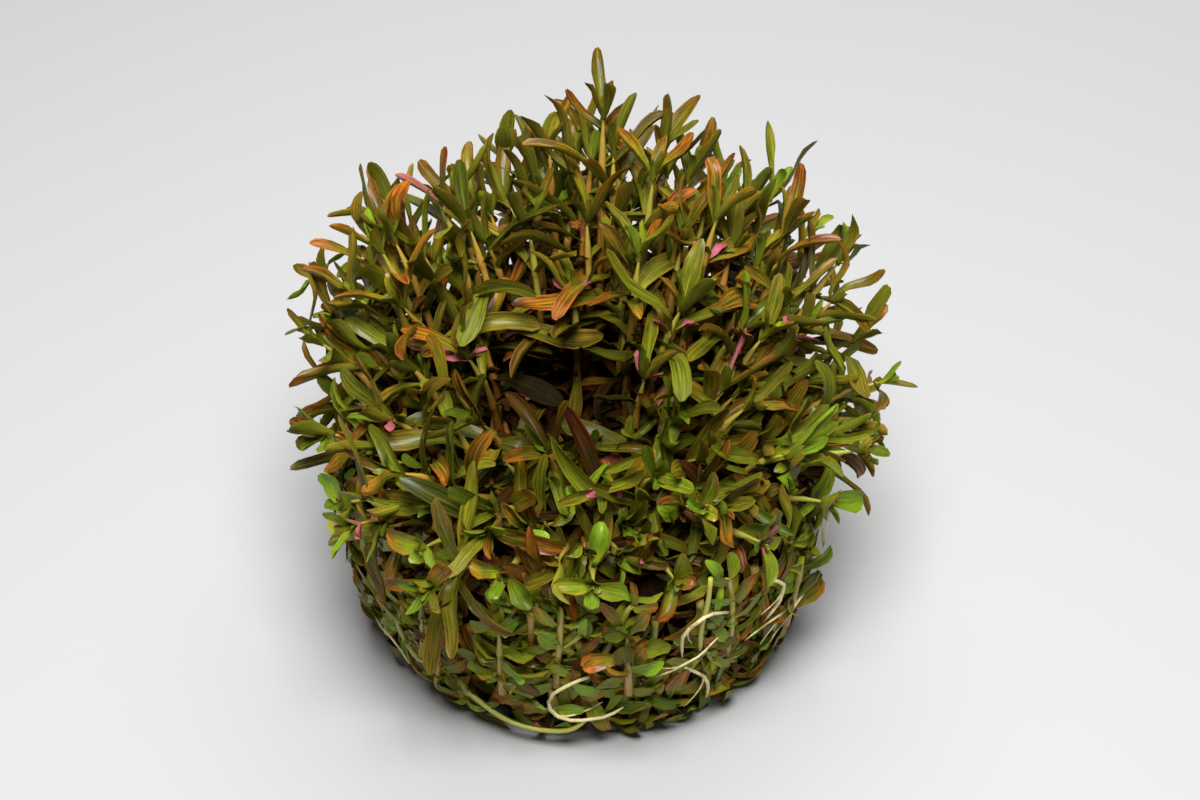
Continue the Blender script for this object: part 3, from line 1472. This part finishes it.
def wall_runner(growth, chance, angle, depth):
    """A stem that runs up or down the wall, with small leaves in pairs about it."""
    start = chance.uniform(FLOOR_RADIUS + 2, WALL_RUN - 12)
    length = chance.uniform(*RUNNER_LENGTHS)
    if chance.random() < 0.5:
        start, length = min(start + length, WALL_RUN + 2), -length
    drift = chance.uniform(-RUNNER_DRIFT, RUNNER_DRIFT)
    steps = max(4, round(abs(length) / RUNNER_STEP))
    frames = []
    for step in range(steps + 1):
        share = step / steps
        run = max(FLOOR_RADIUS, min(start + share * length, WALL_RUN + 4))
        sway = angle + drift * share + 1.5 * math.sin(3 * share + angle)
        frames.append(cup_frame(sway, run, depth + 0.5 * math.sin(5 * share + angle)))
    tone = chance.uniform(0.4, 1.0)
    radii = [0.7 - 0.25 * step / steps for step in range(steps + 1)]
    growth.add_tube(
        STEM_SKIN, [frame[0] for frame in frames], radii, (tone, chance.uniform(0, 0.35), 0, 0),
        [frame[3] for frame in frames],
    )
    for step in range(1, steps + 1, 3):
        place, up, around, out = frames[step]
        ahead = (place - frames[step - 1][0]).normalized()
        wall_pair(growth, chance, place, ahead, out, 1 - 0.3 * step / steps)
        if chance.random() < 0.35:
            side = out.cross(ahead)
            for way in (side, -side, ahead):
                growth.blades.append(young_leaf(
                    place, out, way, (chance.uniform(2, 3.4), 1.3), 50, (1, 0, 0, 0), chance
                ))


def sector_of(point):
    """The name of the compass part that a point lies in."""
    angle = math.degrees(math.atan2(point[0], -point[1]))
    return SECTORS[round(angle / 45) % 8]


def dress_wall():
    """The mat's wall: stems with small leaves, loose leaves, and old dark ones behind them."""
    chance = random.Random(SEED + 3)
    growths = {name: Growth() for name in SECTORS}
    for number in range(RUNNERS):
        angle = math.degrees(number * GOLDEN_TURN)
        wall_runner(growths[sector_of(ring_point(1, angle, 0))], chance, angle, chance.uniform(-1.2, 1.7))
    for number in range(LOOSE_LEAVES + DEEP_LEAVES):
        deep = number >= LOOSE_LEAVES
        angle = math.degrees(number * GOLDEN_TURN)
        run = chance.uniform(FLOOR_RADIUS - 1, WALL_RUN + 6)
        depth = chance.uniform(-4.5, -1.8) if deep else chance.uniform(-2.2, 0.8)
        if deep or gap_at(cup_frame(angle, run, depth)[0]) < 0.5:
            growth = growths[sector_of(ring_point(1, angle, 0))]
            growth.blades.append(loose_leaf(chance, angle, run, depth, deep))
    for name, growth in growths.items():
        piece = growth.finish(f"wall_leaves_{name}", ROUND_LEAF, pressed_to_cup)


def dress_floor():
    """Old leaves pressed flat under the mat."""
    chance = random.Random(SEED + 4)
    growth = Growth()
    for number in range(FLOOR_LEAVES):
        run = FLOOR_RADIUS * math.sqrt((number + 0.5) / FLOOR_LEAVES)
        angle = math.degrees(number * GOLDEN_TURN)
        growth.blades.append(loose_leaf(chance, angle, run, -0.6, chance.random() < 0.5))
    growth.finish("floor_leaves", ROUND_LEAF, pressed_to_cup)


def dress_top():
    """Old brown leaves and fallen stems on the mat's top, between the shoots."""
    chance = random.Random(SEED + 5)
    growth = Growth()
    for number in range(OLD_LEAVES):
        radius = (RIM_RADIUS + 1) * math.sqrt((number + 0.5) / OLD_LEAVES)
        turn = number * GOLDEN_TURN
        place = Vector((radius * math.cos(turn), radius * math.sin(turn), mat_top(radius)))
        place.z += chance.uniform(-0.5, 2.5)
        heading = chance.uniform(0, math.tau)
        tilt = math.radians(chance.uniform(-10, 45))
        flat = Vector((math.cos(heading), math.sin(heading), 0))
        up = Vector((0, 0, 1))
        size = size_in(chance, OLD_LEAF)
        age = chance.uniform(0.2, 0.6) + 0.6 * shade_at(place)
        tint = leaf_tint(chance, 0.3, 0.5, 0.03, age)
        growth.blades.append(Blade(
            "long", place, math.cos(tilt) * flat + math.sin(tilt) * up,
            math.cos(tilt) * up - math.sin(tilt) * flat, size, chance.uniform(0.3, 1.2), tint, chance,
        ))
    for number in range(OLD_STEMS):
        turn = number * GOLDEN_TURN
        radius = 30 * math.sqrt((number + 0.5) / OLD_STEMS)
        heading = turn + chance.uniform(0.8, 2.2)
        points = []
        for step in range(8):
            away = 2.2 * (step - 3.5)
            bow = 0.05 * away ** 2
            x = radius * math.cos(turn) + away * math.cos(heading) - bow * math.sin(heading)
            y = radius * math.sin(turn) + away * math.sin(heading) + bow * math.cos(heading)
            points.append(Vector((x, y, mat_top(math.hypot(x, y)) + 1.2 + 0.8 * math.sin(away))))
        growth.add_tube(
            STEM_SKIN, points, [0.5] * 7 + [0.2], (0.2, 0.5, 0, chance.uniform(0.2, 0.7)), (0, 0, 1)
        )
    growth.finish("old_leaves", LONG_LEAF)


def mat_tangle():
    """The mat's body: a turned, uneven tangle that shows in the gaps between its leaves."""
    sink = 2.6
    outline = [(max(0.0, cup_surface(run)[0] - sink), cup_surface(run)[1] + 0.3)
               for run in np.linspace(0, WALL_RUN, 34)]
    outline = [(0.0, 0.3)] + [(radius, height) for radius, height in outline if radius > 0]
    outline += [(radius, mat_top(radius) - 1.2) for radius in np.linspace(RIM_RADIUS - 1, 0, 16)]
    bm = bmesh.new()
    verts = [bm.verts.new((radius, 0, height)) for radius, height in outline]
    edges = [bm.edges.new(pair) for pair in zip(verts, verts[1:])]
    turned = {"axis": (0, 0, 1), "cent": (0, 0, 0), "angle": math.tau, "use_merge": True}
    bmesh.ops.spin(bm, geom=verts + edges, steps=110, **turned)
    bmesh.ops.remove_doubles(bm, verts=bm.verts, dist=0.01)
    bmesh.ops.recalc_face_normals(bm, faces=bm.faces)
    bm.normal_update()
    for vert in bm.verts:
        lumps = noise.noise(vert.co * 0.22) * 1.6 + noise.noise(vert.co * 0.7) * 0.9
        vert.co += vert.normal * (lumps if vert.co.z > 1 else 0.1 * lumps)
        vert.co.z = max(vert.co.z, 0.05)
    bmesh.ops.scale(bm, vec=(METRES,) * 3, verts=bm.verts)
    mesh = bpy.data.meshes.new("mat_tangle")
    bm.to_mesh(mesh)
    bm.free()
    mesh.polygons.foreach_set("use_smooth", [True] * len(mesh.polygons))
    mesh.materials.append(tangle_finish())
    piece = bpy.data.objects.new("mat_tangle", mesh)
    bpy.context.scene.collection.objects.link(piece)
    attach(piece, "root")
    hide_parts("matted_base")


def dress_root(growth, points, radius, chance):
    """A thin root that wanders a little and thins to its ends, with a short branch."""
    count = len(points)
    wander = []
    for index, point in enumerate(points):
        free = math.sin(math.pi * index / (count - 1))
        lift = ROOT_LIFT * Vector((point.x, point.y, 0)).normalized()
        wander.append(point + free * (lift + 0.25 * noise.noise_vector(point * 0.35)))
    radii = [radius * (0.75 + 0.25 * math.sin(math.pi * index / (count - 1))) for index in range(count)]
    radii[-1] *= 0.4
    growth.add_tube(ROOT_SKIN, wander, radii, (0, 0, 0, 0))
    fork = chance.randrange(count // 4, max(count // 4 + 1, 3 * count // 4))
    place = wander[fork]
    outward = Vector((place.x, place.y, 0)).normalized()
    ahead = (wander[min(fork + 1, count - 1)] - place).normalized()
    side = outward.cross(ahead) * chance.choice((-1, 1))
    length = chance.uniform(3, 6)
    branch = [
        place + length * share * (ahead + (0.2 + 0.7 * share) * side - 0.25 * share * outward)
        for share in (0, 0.25, 0.5, 0.75, 1)
    ]
    radii = [0.6 * radius * (1 - 0.15 * step) for step in range(5)]
    growth.add_tube(ROOT_SKIN, branch, radii, (0, 0, 0, 0))


def wandering_course(chance, angle, height):
    """Places of a root that wanders over the wall in slow bends."""
    heading = chance.uniform(0, math.tau)
    bend = chance.uniform(-0.5, 0.5)
    course = []
    for _ in range(chance.randint(5, 9)):
        course.append((angle, min(31, max(3, height))))
        angle += 4.4 * math.cos(heading)
        height += 2.6 * math.sin(heading)
        heading += bend + chance.gauss(0, 0.25)
    return course


def dress_more_roots():
    """Thinner roots here and there on the wall."""
    chance = random.Random(SEED + 6)
    growth = Growth()
    for number in range(MORE_ROOTS):
        angle = math.degrees(number * GOLDEN_TURN) + 12
        if sector_of(ring_point(1, angle, 0)) == "front":
            continue
        course = wandering_course(chance, angle, chance.uniform(5, 28))
        points = root_course(course, chance.uniform(2.4, 3.2), 1.2)
        dress_root(growth, points, chance.uniform(0.15, 0.23), chance)
    for course in LOW_RUNNERS:
        points = root_course(course, ROOT_CLEARANCE + 0.6, 1.5)
        growth.add_tube(STEM_SKIN, points, [0.42] * (len(points) - 1) + [0.2], (1.0, 0.0, 0, 0))
    growth.finish("thin_roots", LONG_LEAF)


def dress_named(shoots, roots):
    """A fine piece for each solid that has a name."""
    for shoot in shoots:
        growth = Growth()
        tone, blush = shoot_look(shoot)
        kind = shoot.name.rsplit("_", 1)[0]
        if shoot.pressed:
            for leaves in shoot.leaves.values():
                for _, leaf in leaves:
                    tint = leaf_tint(shoot.chance, 0.75, 0.1)
                    growth.blades.append(blade_of(leaf, "round", tint, shoot.chance))
            dress_tip(growth, shoot, 0.8, 0.0)
            dress_stem(growth, shoot, 0.75, 0.3, 0.0)
            for share in (0.22, 0.39, 0.56):
                place, ahead, _, _ = shoot.stem.at(share)
                out = Vector((place.x, place.y, 0)).normalized()
                wall_pair(growth, shoot.chance, place, ahead, out, 0.9)
        else:
            dress_shoot(growth, shoot, tone, blush)
        piece = growth.finish(f"leafy_{shoot.name}", LONG_LEAF if kind == "shoot" else ROUND_LEAF)
        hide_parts(shoot.name)
    for name, points in roots.items():
        growth = Growth()
        dress_root(growth, points, 1.2 * ROOT_RADIUS, random.Random(f"{SEED} {name}"))
        piece = growth.finish(f"fine_{name}", LONG_LEAF)
        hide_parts(name)


def dress_crowd(crowd):
    """The unnamed shoots, joined by the compass part that they stand in."""
    growths = {name: Growth() for name in SECTORS}
    for shoot in crowd:
        dress_shoot(growths[sector_of(shoot.stem.foot)], shoot, *shoot_look(shoot))
    for name, growth in growths.items():
        growth.finish(f"shoots_{name}", LONG_LEAF)


# Camera, light and floor

LENS = 85.0
SENSOR = 36.0
CAMERA_RISE = 40.0
CAMERA_AWAY = 0.446
CAMERA_TARGET = Vector((0.0020, 0.0, 0.0425))


def aim(thing, place, target):
    """Put a thing at a place so that it looks at a target."""
    thing.location = place
    thing.rotation_euler = (target - place).to_track_quat("-Z", "Y").to_euler()


def add_camera():
    """The camera, above the front at the photograph's angle."""
    data = bpy.data.cameras.new("camera")
    data.lens = LENS
    data.sensor_width = SENSOR
    data.clip_start = 0.01
    camera = bpy.data.objects.new("camera", data)
    bpy.context.scene.collection.objects.link(camera)
    rise = math.radians(CAMERA_RISE)
    back = Vector((0, -math.cos(rise), math.sin(rise)))
    aim(camera, CAMERA_TARGET + CAMERA_AWAY * back, CAMERA_TARGET)
    bpy.context.scene.camera = camera


def add_light(name, place, size, watts):
    """A square soft light that looks at the clump."""
    data = bpy.data.lights.new(name, "AREA")
    data.size = size
    data.energy = watts
    light = bpy.data.objects.new(name, data)
    bpy.context.scene.collection.objects.link(light)
    aim(light, Vector(place), Vector((0, 0, 0.04)))


def add_studio():
    """Soft light from above and a plain pale floor."""
    add_light("key", (0.01, -0.20, 0.56), 0.26, 6.7)
    add_light("back", (0.05, 0.30, 0.50), 0.50, 2.4)
    world = bpy.data.worlds.new("studio")
    world.use_nodes = True
    world.node_tree.nodes["Background"].inputs["Color"].default_value = (1, 1, 1, 1)
    world.node_tree.nodes["Background"].inputs["Strength"].default_value = 0.075
    bpy.context.scene.world = world
    bpy.context.scene.view_settings.view_transform = "Standard"

    bm = bmesh.new()
    bmesh.ops.create_grid(bm, x_segments=1, y_segments=1, size=1.5)
    mesh = bpy.data.meshes.new("floor")
    bm.to_mesh(mesh)
    bm.free()
    mesh.materials.append(Finish("pale_floor", base_color=(0.38, 0.38, 0.38, 1), roughness=0.9).material)
    floor = bpy.data.objects.new("floor", mesh)
    bpy.context.scene.collection.objects.link(floor)


add_camera()
add_studio()
LONG_LEAF = leaf_finish("long_leaf", 0.38, 0.22, 0.05, 0.66)
ROUND_LEAF = leaf_finish("round_leaf", 0.38, 0.24, 0.05, 0.4)
STEM_SKIN = stem_finish()
ROOT_SKIN = root_finish()

named, named_roots = grow_named()
crowd = grow_crowd(named)
mat_tangle()
dress_wall()
dress_floor()
dress_top()
dress_named(named, named_roots)
dress_crowd(crowd)
dress_more_roots()
